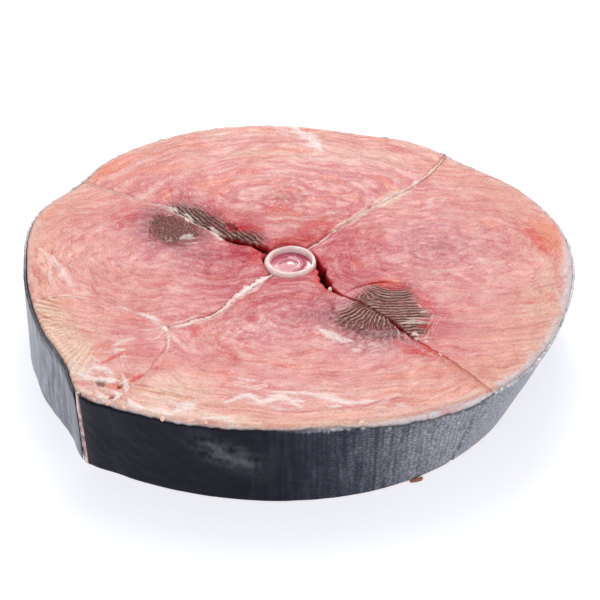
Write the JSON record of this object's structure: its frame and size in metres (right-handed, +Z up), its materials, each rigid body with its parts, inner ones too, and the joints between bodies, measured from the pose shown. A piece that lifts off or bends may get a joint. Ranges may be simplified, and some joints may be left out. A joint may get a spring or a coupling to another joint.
{
  "type": "bonito steak",
  "caption": "Raw bonito steak cut across the fish: pink loins round a backbone, dark muscle beside it, and a dark silver skin.",
  "frame": {"origin": "the middle of the steak's box in plan, on its lower cut face", "axes": "+Z up out of the upper cut face; -Y towards the back of the fish, +Y towards its belly; +X towards one of its sides"},
  "size_m": [0.1544, 0.1516, 0.0267],
  "materials": {
    "flesh": "moist pink raw flesh",
    "dark_muscle": "moist grey-brown flesh",
    "fin_muscle": "moist pale flesh with fat",
    "septum": "moist white membrane",
    "bone": "moist pink-white bone",
    "pulp": "wet translucent jelly",
    "skin": "wet dark skin, silver on the belly"
  },
  "bodies": {
    "root": {"backbone_pulp": "pulp", "backbone_ring": "bone", "dark_back_left": "dark_muscle", "dark_back_right": "dark_muscle", "dark_belly_left": "dark_muscle", "dark_belly_right": "dark_muscle", "fin_base": "fin_muscle", "loin_back_left": "flesh", "loin_back_right": "flesh", "loin_belly_left": "flesh", "loin_belly_right": "flesh", "septum_back": "septum", "septum_belly": "septum", "septum_fin_left": "septum", "septum_fin_right": "septum", "septum_left": "septum", "skin_left": "skin", "skin_right": "skin"}
  },
  "joints": []
}
